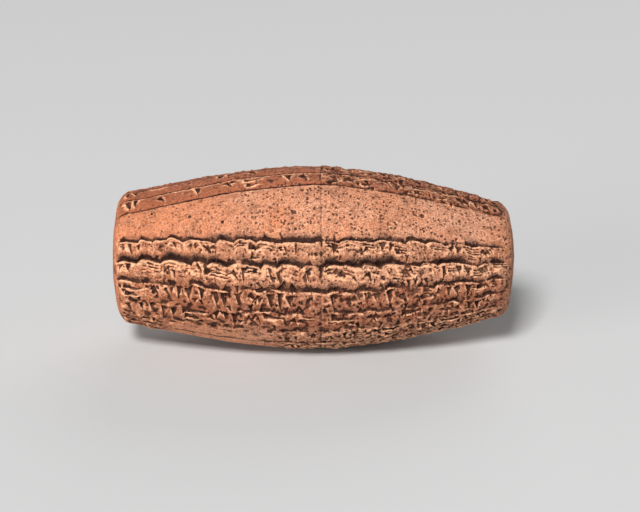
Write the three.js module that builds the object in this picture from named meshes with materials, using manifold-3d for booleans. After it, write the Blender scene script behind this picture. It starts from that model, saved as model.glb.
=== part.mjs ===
// A solid, barrel-shaped clay cylinder, written on while it was soft and then dried.
// Its text is two columns of ruled rows that run round the barrel, stopped by one smooth blank band.
// Every row holds wedge-shaped stylus presses, laid out by rule, that spell no real sign.
// Millimetres, +Z up. The barrel lies along X, its front faces -Y, and it rests at the origin
// on a small flat, which keeps it from rolling.

import * as THREE from "three";
import { mergeVertices } from "three/addons/utils/BufferGeometryUtils.js";
import Module from "manifold-3d";

// The barrel
const BARREL_LENGTH = 130;
const BELLY_RADIUS = 29.4;
const BELLY_OFFSET = -0.7; // the thickest place is this far from the middle of the length
const LEFT_END_RADIUS = 20.2;
const RIGHT_END_RADIUS = 17.2;
const END_EDGE_RADIUS = 5.5;
const END_DOME = 1.6;
const BELLY_ROUNDNESS = 0.6; // high is round from end to end, low is nearly straight flanks
const RIGHT_END_DROP = 0.8; // hand rolling left the right end a little low
const REST_FLAT_DEPTH = 0.6;

// The ruled rows. Angles are degrees round the barrel, from 0 at the front up to 90 at the top.
const ROW_COUNT = 20;
const BAND_TOP = { left: 59, belly: 72, right: 66 };
const BAND_BOTTOM = { left: 33.5, belly: 29, right: 32 };
const LINE_BEND_POWER = 1.3;
const LEFT_MARGIN = 3.2;
const RIGHT_MARGIN = 6.2;
const COLUMN_DIVIDER = 2.3; // where the ring between the two columns runs, along X
const COLUMN_GAP = 1.4; // bare clay on each side of that ring
const RULE_WIDTH = 0.9;
const RULE_DEPTH = 0.35;

// The stylus presses
const HEAD_WIDTH = 3.3;
const PRESS_DEPTH = 1.75;
const HEAD_LEAN = 0.34; // from the head's edge to the deepest point, in press depths
const STEEP_SIDE = 0.76; // how far off the middle the deepest line lies, as a share of the half width
const LEVEL_SHARE = 0.24; // of the groups, those with level presses
const UPRIGHT_SHARE = 0.6; // of the groups, those with level or upright ones
const UNEVENNESS = 0.5; // how much a press's width varies, as a share
const NARROWEST = 0.92; // narrower presses, as a share of the usual width, don't show from a step away
const ROW_FILL = 0.78; // the share of a row's height that an upright press takes
const HEAD_DOWN = 0.08; // how far below its row line an upright press starts, in row heights
const PRESS_GAP = 0.9; // clay left between one group of presses and the next
const LONG_PRESS = [5, 11]; // shortest and longest level press

// How the presses of a group lie. A place down the row is in row heights, a turn in degrees, and
// each varies from its first value over its spread.
const LEVEL_DOWN = { first: 0.16, spread: 0.12 };
const LEVEL_TURN = { first: 2, spread: -10 };
const SINGLE_SHARE = 0.4; // of the level groups, those with one press
const SECOND_START = 0.8; // how far in from the first a second level press starts
const SECOND_DOWN = { first: 0.56, spread: 0.1 };
const SECOND_LENGTH = 0.7; // as a share of the first one's
const UPRIGHT_COUNT = { first: 1, spread: 2.4 };
const UPRIGHT_PITCH = 0.96; // from one upright press to the next, in head widths
const UPRIGHT_STAGGER = 0.14;
const UPRIGHT_SWAY = 20;
const UPRIGHT_LENGTH = { first: 0.7, spread: 0.3 }; // as a share of the longest
const UPRIGHT_ROOM = 0.1; // clay beyond a group of upright presses, in head widths
const SLANTED_START = 0.4;
const SLANTED_DOWN = { first: 0.2, spread: 0.2 };
const SLANTED_TURN = { first: -40, spread: -20 };
const SLANTED_LENGTH = 0.75; // as a share of the longest upright press
const SLANTED_ROOM = 1.15; // in head widths, as for the crossing pair
const LONE_SHARE = 0.5; // of the slanted groups, those with one press
const CROSSING_START = 1.25; // in head widths
const CROSSING_TURN = { first: -135, spread: -24 };
const CROSSING_STAGGER = 0.16;
const CROSSING_ROOM = 1.45;
const ROW_START = 2; // the widest clear space at a row's left end

// The first rows, each under a ledge of long level presses laid end to end
const LEDGE_ROWS = 2;
const LEDGE_PRESS = [10, 22];
const LEDGE_OVERLAP = 2.5;
const LEDGE_WIDTH = 0.85; // a ledge press's width, as a share of the others'
const LEDGE_DOWN = { first: -0.16, spread: 0.12 };
const LEDGE_TURN = { first: -2, spread: -4 };
const LEDGE_GAP = 9; // the widest gap between groups in the rows that are mostly ledge

// Where the clay is smooth
const REST_CLEAR = 5.5; // no press comes nearer to the middle of the resting flat
const SPARSE_ROWS = 2; // rows of the left column, last before the band, with wide gaps
const SPARSE_GAP = 13;
const WORN_PATCH = { from: -50, to: -9, firstRow: 4, lastRow: 6 };

// Seeds of the repeatable numbers that vary the presses, one stream for each row of each column
const FIRST_SEED = 101;
const ROW_SEED = 17;
const RIGHT_SEED = 7;
const STREAM_FACTOR = 16807;
const STREAM_LENGTH = 2147483647;

const CLAY_COLOUR = 0xb5714d;
const CLAY_ROUGHNESS = 0.95;

// How finely curved forms are faceted
const ROUND_STEPS = 42;
const FLANK_STEPS = 13;
const EDGE_STEPS = 3;
const DOME_STEPS = 2;
const RULE_STEPS = 12;
const SAME_POINT = 1e-4; // corners nearer than this are one
const SLOPE_STEP = 0.5; // the flank's slope is read this far on each side
const CUTTER_LIFT = 0.5; // how far above the clay a press's cutter starts, in press depths

const HALF_LENGTH = BARREL_LENGTH / 2;
const AXIS_HEIGHT = BELLY_RADIUS - REST_FLAT_DEPTH;
const TEXT_LEFT = -HALF_LENGTH + LEFT_MARGIN;
const TEXT_RIGHT = HALF_LENGTH - RIGHT_MARGIN;
const COLUMNS = [
  { side: "left", from: TEXT_LEFT, to: COLUMN_DIVIDER - COLUMN_GAP },
  { side: "right", from: COLUMN_DIVIDER + COLUMN_GAP, to: TEXT_RIGHT },
];

const wasm = await Module();
wasm.setup();

// The barrel's form

// How far x lies from the belly towards its own end, from 0 to 1, with that end's name.
function towardsEnd(x) {
  const side = x < BELLY_OFFSET ? "left" : "right";
  const reach = side === "left" ? HALF_LENGTH + BELLY_OFFSET : HALF_LENGTH - BELLY_OFFSET;
  return { side, share: Math.min(1, Math.abs(x - BELLY_OFFSET) / reach) };
}

// Radius of the flank at x, as if the ends had sharp edges.
function flankRadius(x) {
  const { side, share } = towardsEnd(x);
  const endRadius = side === "left" ? LEFT_END_RADIUS : RIGHT_END_RADIUS;
  const fall = Math.hypot(share, BELLY_ROUNDNESS) - BELLY_ROUNDNESS;
  const fullFall = Math.hypot(1, BELLY_ROUNDNESS) - BELLY_ROUNDNESS;
  return BELLY_RADIUS - ((BELLY_RADIUS - endRadius) * fall) / fullFall;
}

// Radius of the barrel at x, with the rounding of its end edges.
function barrelRadius(x) {
  const flankEnd = HALF_LENGTH - END_DOME - END_EDGE_RADIUS;
  const past = Math.min(Math.abs(x) - flankEnd, END_EDGE_RADIUS);
  if (past <= 0) return flankRadius(x);
  const faceRadius = flankRadius(Math.sign(x) * flankEnd) - END_EDGE_RADIUS;
  return faceRadius + Math.sqrt(END_EDGE_RADIUS ** 2 - past ** 2);
}

function axisHeight(x) {
  const { side, share } = towardsEnd(x);
  return AXIS_HEIGHT - (side === "right" ? RIGHT_END_DROP * share ** 2 : 0);
}

// Half of one end's outline, from its pole out to the flank: a low dome and a rounded edge.
function endOutline(direction) {
  const flankX = direction * (HALF_LENGTH - END_DOME - END_EDGE_RADIUS);
  const flankR = flankRadius(flankX);
  const faceR = flankR - END_EDGE_RADIUS;
  const points = [];
  for (let i = 0; i < DOME_STEPS; i++) {
    const r = (faceR * i) / DOME_STEPS;
    points.push(new THREE.Vector2(r, direction * (HALF_LENGTH - END_DOME * (r / faceR) ** 2)));
  }
  for (let i = 0; i < EDGE_STEPS; i++) {
    const turn = (Math.PI / 2) * (i / EDGE_STEPS);
    const out = END_EDGE_RADIUS * Math.cos(turn);
    points.push(new THREE.Vector2(faceR + END_EDGE_RADIUS * Math.sin(turn), flankX + direction * out));
  }
  return { points, flankX };
}

function barrelSolid() {
  const left = endOutline(-1);
  const right = endOutline(1);
  const flank = [];
  for (let i = 0; i <= FLANK_STEPS; i++) {
    const x = THREE.MathUtils.lerp(left.flankX, right.flankX, i / FLANK_STEPS);
    flank.push(new THREE.Vector2(flankRadius(x), x));
  }
  const outline = [...left.points, ...flank, ...right.points.reverse()];
  const barrel = new THREE.LatheGeometry(outline, ROUND_STEPS);
  barrel.rotateZ(-Math.PI / 2);
  const place = barrel.getAttribute("position");
  for (let i = 0; i < place.count; i++) place.setZ(i, place.getZ(i) + axisHeight(place.getX(i)));
  return solidFrom(barrel);
}

// What lies below the surface that the cylinder rests on, cut away to leave the resting flat.
function belowRest() {
  const ground = new THREE.BoxGeometry(BARREL_LENGTH, 2 * BELLY_RADIUS, BELLY_RADIUS);
  return solidFrom(ground.translate(0, 0, -BELLY_RADIUS / 2));
}

// The rows

// An angle given at the left end, the belly and the right end, read off at x.
function lineAngle(line, x) {
  const share = Math.abs(x) / HALF_LENGTH;
  return line.belly + ((x < 0 ? line.left : line.right) - line.belly) * share ** LINE_BEND_POWER;
}

function rowAngle(x) {
  return (360 - lineAngle(BAND_TOP, x) + lineAngle(BAND_BOTTOM, x)) / ROW_COUNT;
}

// Angle of a place in the text: row 0 starts at the band's lower edge, and down runs from 0 to 1.
function textAngle(x, row, down) {
  return lineAngle(BAND_BOTTOM, x) - (row + down) * rowAngle(x);
}

function rowHeight(x) {
  return THREE.MathUtils.degToRad(rowAngle(x)) * flankRadius(x);
}

// A frame on the surface: its X runs along the barrel, its Y up the rows and its Z straight out.
function surfaceFrame(x, angle) {
  const slope = (barrelRadius(x + SLOPE_STEP) - barrelRadius(x - SLOPE_STEP)) / (2 * SLOPE_STEP);
  const round = THREE.MathUtils.degToRad(angle);
  const spoke = new THREE.Vector3(0, -Math.cos(round), Math.sin(round));
  const up = new THREE.Vector3(0, Math.sin(round), Math.cos(round));
  const along = new THREE.Vector3(1, 0, 0).addScaledVector(spoke, slope).normalize();
  const out = new THREE.Vector3().crossVectors(along, up);
  const spot = new THREE.Vector3(x, 0, axisHeight(x)).addScaledVector(spoke, barrelRadius(x));
  return new THREE.Matrix4().makeBasis(along, up, out).setPosition(spot);
}

// A repeatable stream of numbers from 0 to 1.
function seededNumbers(seed) {
  let state = seed;
  return () => {
    state = (state * STREAM_FACTOR) % STREAM_LENGTH;
    return state / STREAM_LENGTH;
  };
}

// A value somewhere in its range.
function vary({ first, spread }, next) {
  return first + spread * next();
}

// A size's share of its usual value, as the hand varied it.
function uneven(next) {
  return 1 + UNEVENNESS * (next() - 0.5);
}

// One group of presses. Each has its place from the group's left edge, its place down the row, its
// turn in degrees (0 points its tail right, -90 down), its length in belly millimetres, its width as
// a share of the usual one, and the side its steep wall is on, seen along the tail: 1 left, -1 right.
function pressGroup(next) {
  const pick = next();
  if (pick < LEVEL_SHARE) return levelGroup(next);
  if (pick < UPRIGHT_SHARE) return uprightGroup(next);
  return slantedGroup(next);
}

function levelGroup(next) {
  const [shortest, longest] = LONG_PRESS;
  const length = shortest + (longest - shortest) * next();
  const first = { along: 0, length, steep: -1 };
  first.down = vary(LEVEL_DOWN, next);
  first.turn = vary(LEVEL_TURN, next);
  first.wide = uneven(next);
  const second = { ...first, along: SECOND_START, length: SECOND_LENGTH * length };
  second.down = vary(SECOND_DOWN, next);
  return { width: length, presses: next() < SINGLE_SHARE ? [first] : [first, second] };
}

function uprightGroup(next) {
  const count = Math.floor(vary(UPRIGHT_COUNT, next));
  const presses = [];
  for (let i = 0; i < count; i++) {
    const press = { along: HEAD_WIDTH * (0.5 + UPRIGHT_PITCH * i), steep: -1 };
    press.down = HEAD_DOWN + UPRIGHT_STAGGER * next();
    press.turn = -90 + UPRIGHT_SWAY * (next() - 0.5);
    press.length = uprightLength() * vary(UPRIGHT_LENGTH, next);
    press.wide = uneven(next);
    presses.push(press);
  }
  return { width: HEAD_WIDTH * (UPRIGHT_ROOM + count), presses };
}

function slantedGroup(next) {
  const slanted = { along: SLANTED_START, length: SLANTED_LENGTH * uprightLength(), steep: 1 };
  slanted.down = vary(SLANTED_DOWN, next);
  slanted.turn = vary(SLANTED_TURN, next);
  slanted.wide = uneven(next);
  if (next() < LONE_SHARE) return { width: HEAD_WIDTH * SLANTED_ROOM, presses: [slanted] };
  const crossing = { ...slanted, along: HEAD_WIDTH * CROSSING_START, steep: -1 };
  crossing.turn = vary(CROSSING_TURN, next);
  crossing.wide = uneven(next);
  crossing.down = slanted.down + CROSSING_STAGGER * (next() - 0.5);
  return { width: HEAD_WIDTH * CROSSING_ROOM, presses: [slanted, crossing] };
}

function uprightLength() {
  return ROW_FILL * rowHeight(0);
}

// Long level presses end to end, which step the clay down under one of the first row lines.
function ledgePresses(row, column, next) {
  const [shortest, longest] = LEDGE_PRESS;
  const presses = [];
  let x = column.from;
  while (x < column.to - shortest) {
    const length = Math.min(shortest + (longest - shortest) * next(), column.to - x);
    const press = { row, x, length, steep: -1, scale: rowHeight(x) / rowHeight(0), ledge: true };
    press.wide = LEDGE_WIDTH * uneven(next);
    press.down = vary(LEDGE_DOWN, next);
    press.turn = vary(LEDGE_TURN, next);
    presses.push(press);
    x += length - LEDGE_OVERLAP;
  }
  return presses;
}

// Every press on the cylinder, row by row and from left to right.
function layOutPresses() {
  const presses = [];
  for (let row = 0; row < ROW_COUNT; row++) {
    for (const column of COLUMNS) {
      const columnSeed = column.side === "left" ? 0 : RIGHT_SEED;
      const next = seededNumbers(FIRST_SEED + ROW_SEED * row + columnSeed);
      next();
      if (row < LEDGE_ROWS) presses.push(...ledgePresses(row, column, next));
      let x = column.from + ROW_START * next();
      for (;;) {
        const group = pressGroup(next);
        const scale = rowHeight(x) / rowHeight(0);
        if (x + group.width * scale > column.to) break;
        for (const press of group.presses) {
          presses.push({ ...press, row, x: x + press.along * scale, scale });
        }
        x += group.width * scale + PRESS_GAP + widestGap(row, column) * next();
      }
    }
  }
  return presses.filter((press) => !leftBare(press) && (press.ledge || press.wide > NARROWEST));
}

function widestGap(row, column) {
  if (column.side === "left" && row >= ROW_COUNT - SPARSE_ROWS) return SPARSE_GAP;
  return row < LEDGE_ROWS ? LEDGE_GAP : 0;
}

// Whether a press falls on the worn patch or the resting flat.
function leftBare({ x, row, down }) {
  const below = textAngle(x, row, down) + 90;
  const across = THREE.MathUtils.degToRad(below) * flankRadius(x);
  const wornRow = row >= WORN_PATCH.firstRow && row <= WORN_PATCH.lastRow;
  const worn = wornRow && x > WORN_PATCH.from && x < WORN_PATCH.to;
  return worn || Math.hypot(x, across) < REST_CLEAR;
}

// The cutters

// What one press takes away: a triangular head that deepens at once and runs out in a long tail,
// steep on one side. Its own frame has the head's edge at 0, the tail along +X and the clay at Z 0.
function pressCutter({ x, row, down, turn, length, wide, steep, scale }) {
  const depth = PRESS_DEPTH * scale;
  const lift = CUTTER_LIFT * depth; // the cutter is wider where it starts, above the clay
  const spread = 1 + lift / depth;
  const halfHead = (HEAD_WIDTH / 2) * wide * scale;
  const deepX = HEAD_LEAN * depth;
  const deepY = STEEP_SIDE * steep * halfHead * (1 - deepX / (length * scale));
  const headX = deepX - deepX * spread;
  const tailX = deepX + (length * scale - deepX) * spread;
  const outward = (y) => deepY + (y - deepY) * spread;
  const corners = [
    ...[headX, outward(-halfHead), lift],
    ...[headX, outward(halfHead), lift],
    ...[tailX, outward(0), lift],
    ...[deepX, deepY, -depth],
  ];
  const cutter = new THREE.BufferGeometry();
  cutter.setAttribute("position", new THREE.Float32BufferAttribute(corners, 3));
  cutter.setIndex([0, 2, 1, 0, 1, 3, 1, 2, 3, 2, 0, 3]);
  cutter.rotateZ(THREE.MathUtils.degToRad(turn));
  return solidFrom(cutter.applyMatrix4(surfaceFrame(x, textAngle(x, row, down))));
}

// A shallow V-shaped score through the surface frames that it is given, closed into a ring or not.
function scoreCutter(frames, ring) {
  const half = RULE_WIDTH / 2;
  const corners = [];
  for (const { frame, sideways } of frames) {
    const section = [
      sideways.clone().multiplyScalar(-2 * half).setZ(RULE_DEPTH),
      sideways.clone().multiplyScalar(2 * half).setZ(RULE_DEPTH),
      new THREE.Vector3(0, 0, -RULE_DEPTH),
    ];
    for (const corner of section) corners.push(...corner.applyMatrix4(frame).toArray());
  }
  const faces = [];
  const last = frames.length - (ring ? 0 : 1);
  for (let i = 0; i < last; i++) {
    const here = 3 * i;
    const there = 3 * ((i + 1) % frames.length);
    for (let k = 0; k < 3; k++) {
      const l = (k + 1) % 3;
      faces.push(here + k, there + k, there + l, here + k, there + l, here + l);
    }
  }
  const end = 3 * (frames.length - 1);
  if (!ring) faces.push(0, 1, 2, end + 2, end + 1, end);
  const score = new THREE.BufferGeometry();
  score.setAttribute("position", new THREE.Float32BufferAttribute(corners, 3));
  score.setIndex(faces);
  return solidFrom(score);
}

// The line under a row, from one place along the barrel to another.
function rowRule(row, from, to) {
  const frames = [];
  for (let i = 0; i <= RULE_STEPS; i++) {
    const x = THREE.MathUtils.lerp(from, to, i / RULE_STEPS);
    frames.push({ frame: surfaceFrame(x, textAngle(x, row, 1)), sideways: new THREE.Vector3(0, 1, 0) });
  }
  return scoreCutter(frames, false);
}

// The ring that parts the two columns.
function columnRule() {
  const frames = [];
  for (let i = 0; i < ROUND_STEPS; i++) {
    const frame = surfaceFrame(COLUMN_DIVIDER, (360 * (i + 0.5)) / ROUND_STEPS);
    frames.push({ frame, sideways: new THREE.Vector3(1, 0, 0) });
  }
  return scoreCutter(frames, true);
}

// Surfaces as closed solids, and back

function solidFrom(geometry) {
  const bare = new THREE.BufferGeometry();
  bare.setAttribute("position", geometry.getAttribute("position"));
  if (geometry.index) bare.setIndex(geometry.index);
  const merged = mergeVertices(bare, SAME_POINT);
  return new wasm.Manifold(
    new wasm.Mesh({
      numProp: 3,
      vertProperties: new Float32Array(merged.getAttribute("position").array),
      triVerts: new Uint32Array(merged.index.array),
    }),
  );
}

function geometryFrom(solid) {
  const { vertProperties, triVerts } = solid.getMesh();
  const geometry = new THREE.BufferGeometry();
  geometry.setAttribute("position", new THREE.Float32BufferAttribute(vertProperties, 3));
  geometry.setIndex([...triVerts]);
  geometry.computeVertexNormals();
  return geometry;
}

// The finished piece

function clayCylinder() {
  const cutters = [
    columnRule(),
    rowRule(ROW_COUNT - 1, -HALF_LENGTH + END_EDGE_RADIUS, HALF_LENGTH - END_EDGE_RADIUS),
    rowRule(ROW_COUNT - 2, TEXT_LEFT, COLUMN_DIVIDER - RULE_WIDTH),
    ...layOutPresses().map(pressCutter),
  ];
  const pressed = cutters.reduce((all, cutter) => all.add(cutter));
  const body = barrelSolid().subtract(belowRest()).subtract(pressed);
  const clay = new THREE.MeshStandardMaterial({
    color: CLAY_COLOUR,
    roughness: CLAY_ROUGHNESS,
    metalness: 0,
  });
  const mesh = new THREE.Mesh(geometryFrom(body), clay);
  mesh.name = "clay_cylinder";
  return mesh;
}

const part = new THREE.Group();
part.add(clayCylinder());

export default part;
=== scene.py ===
import math

import bpy
import numpy as np
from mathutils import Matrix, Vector


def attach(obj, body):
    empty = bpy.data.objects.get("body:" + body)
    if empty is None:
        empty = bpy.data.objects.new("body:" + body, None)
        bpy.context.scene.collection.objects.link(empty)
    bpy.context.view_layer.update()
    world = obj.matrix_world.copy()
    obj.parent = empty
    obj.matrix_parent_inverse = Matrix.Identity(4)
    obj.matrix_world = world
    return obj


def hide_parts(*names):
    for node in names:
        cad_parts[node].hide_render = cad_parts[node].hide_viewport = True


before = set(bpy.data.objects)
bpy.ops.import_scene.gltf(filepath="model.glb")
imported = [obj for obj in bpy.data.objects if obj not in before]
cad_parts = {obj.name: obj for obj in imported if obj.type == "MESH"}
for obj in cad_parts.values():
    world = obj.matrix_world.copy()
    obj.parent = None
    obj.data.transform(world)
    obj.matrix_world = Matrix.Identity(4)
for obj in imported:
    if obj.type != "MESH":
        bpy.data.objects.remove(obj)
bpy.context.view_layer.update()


# The lump of clay. It is one solid barrel, rolled by hand, a little thicker towards its left end,
# with low domed ends and thumbed edges, and set down once while soft, which left a small flat.
# Lengths are in millimetres and angles in degrees, until the mesh is made in metres.
MM = 0.001
BARREL_LENGTH = 130
BELLY_RADIUS = 29.4
BELLY_OFFSET = -0.7
LEFT_END_RADIUS = 20.2
RIGHT_END_RADIUS = 17.2
END_EDGE_RADIUS = 5.5
END_DOME = 1.6
BELLY_ROUNDNESS = 0.6
RIGHT_END_DROP = 0.8
REST_FLAT_DEPTH = 0.6
HALF_LENGTH = BARREL_LENGTH / 2
AXIS_HEIGHT = BELLY_RADIUS - REST_FLAT_DEPTH

FLANK_STEPS = 700
EDGE_STEPS = 26
DOME_STEPS = 40


def towards_end(x):
    """How far x lies from the belly towards its own end, from 0 to 1, and whether it is on the left."""
    left = x < BELLY_OFFSET
    reach = np.where(left, HALF_LENGTH + BELLY_OFFSET, HALF_LENGTH - BELLY_OFFSET)
    return np.minimum(1, np.abs(x - BELLY_OFFSET) / reach), left


def flank_radius(x):
    share, left = towards_end(x)
    end = np.where(left, LEFT_END_RADIUS, RIGHT_END_RADIUS)
    fall = np.hypot(share, BELLY_ROUNDNESS) - BELLY_ROUNDNESS
    return BELLY_RADIUS - (BELLY_RADIUS - end) * fall / (math.hypot(1, BELLY_ROUNDNESS) - BELLY_ROUNDNESS)


def axis_height(x):
    share, left = towards_end(x)
    return AXIS_HEIGHT - np.where(left, 0, RIGHT_END_DROP * share**2)


def end_outline(direction):
    """One end's outline from its pole out to the flank, as x and radius."""
    flank_x = direction * (HALF_LENGTH - END_DOME - END_EDGE_RADIUS)
    face = float(flank_radius(flank_x)) - END_EDGE_RADIUS
    dome_r = face * np.arange(DOME_STEPS) / DOME_STEPS
    dome_x = direction * (HALF_LENGTH - END_DOME * (dome_r / face) ** 2)
    turn = np.pi / 2 * np.arange(EDGE_STEPS) / EDGE_STEPS
    edge_x = flank_x + direction * END_EDGE_RADIUS * np.cos(turn)
    edge_r = face + END_EDGE_RADIUS * np.sin(turn)
    return np.r_[dome_x, edge_x], np.r_[dome_r, edge_r], flank_x


left_x, left_r, left_flank = end_outline(-1)
right_x, right_r, right_flank = end_outline(1)
flank_x = np.linspace(left_flank, right_flank, FLANK_STEPS)
outline_x = np.r_[left_x, flank_x, right_x[::-1]]
outline_r = np.r_[left_r, flank_radius(flank_x), right_r[::-1]]
outline_s = np.r_[0, np.cumsum(np.hypot(np.diff(outline_x), np.diff(outline_r)))]


# The ruled rows. The scribe ruled lines round the soft barrel, split the text into two columns by
# a ring, and left one smooth blank band between the last row and the first.
ROW_COUNT = 20
BAND_TOP = {"left": 59, "belly": 72, "right": 66}
BAND_BOTTOM = {"left": 33.5, "belly": 29, "right": 32}
LINE_BEND_POWER = 1.3
LEFT_MARGIN = 3.2
RIGHT_MARGIN = 6.2
COLUMN_DIVIDER = 2.3
COLUMN_GAP = 1.4
TEXT_LEFT = -HALF_LENGTH + LEFT_MARGIN
TEXT_RIGHT = HALF_LENGTH - RIGHT_MARGIN
COLUMNS = {
    "left": (TEXT_LEFT, COLUMN_DIVIDER - COLUMN_GAP),
    "right": (COLUMN_DIVIDER + COLUMN_GAP, TEXT_RIGHT),
}
ROW_STEPS = 32
BAND_STEPS = 90


def line_angle(line, x):
    """A ruled line's angle round the barrel, bent between its angles at the ends and the belly."""
    share = np.abs(x) / HALF_LENGTH
    end = np.where(x < 0, line["left"], line["right"])
    return line["belly"] + (end - line["belly"]) * share**LINE_BEND_POWER


def row_angle(x):
    return (360 - line_angle(BAND_TOP, x) + line_angle(BAND_BOTTOM, x)) / ROW_COUNT


def text_angle(x, row):
    """Angle round the barrel of a place in the text, where row 0 starts at the band's lower edge."""
    return line_angle(BAND_BOTTOM, x) - row * row_angle(x)


def row_height(x):
    return np.radians(row_angle(x)) * flank_radius(x)


# The surface is a grid: along the outline, and round it by rows, with the band last.
text_rows = np.arange(ROW_COUNT * ROW_STEPS) / ROW_STEPS
band_share = np.arange(BAND_STEPS) / BAND_STEPS
rows = np.r_[text_rows, np.full(BAND_STEPS, ROW_COUNT)]
band = np.r_[np.zeros(len(text_rows)), band_share]
grid_x = outline_x[:, None]
grid_r = outline_r[:, None]
band_angle = line_angle(BAND_TOP, grid_x) - line_angle(BAND_BOTTOM, grid_x)
grid_angle = text_angle(grid_x, rows[None, :]) - band[None, :] * band_angle
grid_turn = np.radians(grid_angle)
spoke = np.stack([np.zeros_like(grid_turn), -np.cos(grid_turn), np.sin(grid_turn)], -1)
points = spoke * grid_r[..., None]
points[..., 0] = grid_x
points[..., 2] += axis_height(grid_x)
slope_x = np.gradient(outline_x, outline_s)
slope_r = np.gradient(outline_r, outline_s)
normals = spoke * slope_x[:, None, None]
normals[..., 0] = -slope_r[:, None]


# The presses. Each is the corner of a reed stylus pushed into the clay: a triangular head that
# deepens at once, and a tail that runs out to a point. They stand in rows and spell nothing.
# A place down a row is in row heights, a turn in degrees, and pairs are limits or start and spread.
STREAM_FACTOR = 16807
STREAM_LENGTH = 2147483647
HASH_FACTORS = (73856093, 19349663, 83492791)
HASH_SEED_FACTOR = 2654435761
HASH_STIR = 1274126177
HASH_LIMIT = 0xFFFFFFFF
CODE_LIMIT = 0xFFFF
HALF_CODE = 0x7FFF


def seeded_numbers(seed):
    """A repeatable stream of numbers from 0 to 1."""
    state = seed
    while True:
        state = state * STREAM_FACTOR % STREAM_LENGTH
        yield state / STREAM_LENGTH


def between(limits, numbers):
    """A value somewhere from the first limit to the second."""
    low, high = limits
    return low + (high - low) * next(numbers)


def vary(start_and_spread, numbers):
    """A value somewhere in the spread past its start."""
    start, spread = start_and_spread
    return start + spread * next(numbers)


def lattice_noise(places, size, seed):
    """Smooth noise from -1 to 1 through space, in lumps about as large as size."""
    scaled = places / size
    cell = np.floor(scaled).astype(np.int64)
    part = scaled - cell
    part = part * part * (3 - 2 * part)
    total = np.zeros(places.shape[:-1])
    for corner in np.ndindex(2, 2, 2):
        spot = (cell + np.array(corner)) * np.array(HASH_FACTORS)
        code = spot[..., 0] ^ spot[..., 1] ^ spot[..., 2] ^ seed * HASH_SEED_FACTOR
        code = (code ^ (code >> 13)) * HASH_STIR & HASH_LIMIT
        code = (code ^ (code >> 16)) & CODE_LIMIT
        weight = np.prod(np.where(np.array(corner) == 1, part, 1 - part), axis=-1)
        total += weight * (code / HALF_CODE - 1)
    return total


HEAD_WIDTH = 3.3
PRESS_DEPTH = 1.75
HEAD_LEAN = 0.34
STEEP_SIDE = 0.76
LEVEL_SHARE = 0.24
UPRIGHT_SHARE = 0.6
UNEVENNESS = 0.5
ROW_FILL = 0.78
HEAD_DOWN = 0.08
PRESS_GAP = 0.9
LONG_PRESS = (5, 11)
LEVEL_DOWN = (0.16, 0.12)
LEVEL_TURN = (2, -10)
SINGLE_SHARE = 0.4
SECOND_START = 0.8
SECOND_DOWN = (0.56, 0.1)
SECOND_LENGTH = 0.7
UPRIGHT_COUNT = (1, 2.4)
UPRIGHT_PITCH = 0.96
UPRIGHT_STAGGER = 0.14
UPRIGHT_SWAY = 20
UPRIGHT_LENGTH = (0.7, 0.3)
UPRIGHT_ROOM = 0.1
SLANTED_START = 0.4
SLANTED_DOWN = (0.2, 0.2)
SLANTED_TURN = (-40, -20)
SLANTED_LENGTH = 0.75
SLANTED_ROOM = 1.15
LONE_SHARE = 0.5
CROSSING_START = 1.25
CROSSING_TURN = (-135, -24)
CROSSING_STAGGER = 0.16
CROSSING_ROOM = 1.45
ROW_START = 2
LEDGE_ROWS = 2
LEDGE_GAP = 9
LEDGE_PRESS = (10, 22)
LEDGE_OVERLAP = 2.5
LEDGE_WIDTH = 0.85
LEDGE_DOWN = (-0.16, 0.12)
LEDGE_TURN = (-2, -4)
FIRST_LEDGE_DEPTH = 0.7
BRIDGED_SHARE = 0.55
REST_CLEAR = 5.5
SPARSE_ROWS = 2
SPARSE_GAP = 13
WORN_PATCH = {"start": -50, "end": -9, "first": 4, "last": 6}
PRESS_SEEDS = {"first": 101, "row": 17, "right": 7}
LONGEST_UPRIGHT = ROW_FILL * float(row_height(0))


def uneven(numbers):
    """A size's share of its usual value, as the hand varied it."""
    return 1 + UNEVENNESS * (next(numbers) - 0.5)


def press_group(numbers):
    """One group: its width and its presses, with the same rule and the same numbers as the solid."""
    pick = next(numbers)
    if pick < LEVEL_SHARE:
        return level_group(numbers)
    if pick < UPRIGHT_SHARE:
        return upright_group(numbers)
    return slanted_group(numbers)


def level_group(numbers):
    length = between(LONG_PRESS, numbers)
    first = {"along": 0, "down": vary(LEVEL_DOWN, numbers), "turn": vary(LEVEL_TURN, numbers)}
    first |= {"length": length, "steep": -1, "wide": uneven(numbers)}
    second = {**first, "along": SECOND_START, "down": vary(SECOND_DOWN, numbers)}
    second["length"] = SECOND_LENGTH * length
    return length, [first] if next(numbers) < SINGLE_SHARE else [first, second]


def upright_group(numbers):
    count = int(vary(UPRIGHT_COUNT, numbers))
    presses = []
    for i in range(count):
        press = {"along": HEAD_WIDTH * (0.5 + UPRIGHT_PITCH * i), "steep": -1}
        press["down"] = HEAD_DOWN + UPRIGHT_STAGGER * next(numbers)
        press["turn"] = -90 + UPRIGHT_SWAY * (next(numbers) - 0.5)
        press["length"] = LONGEST_UPRIGHT * vary(UPRIGHT_LENGTH, numbers)
        press["wide"] = uneven(numbers)
        presses.append(press)
    return HEAD_WIDTH * (UPRIGHT_ROOM + count), presses


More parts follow.
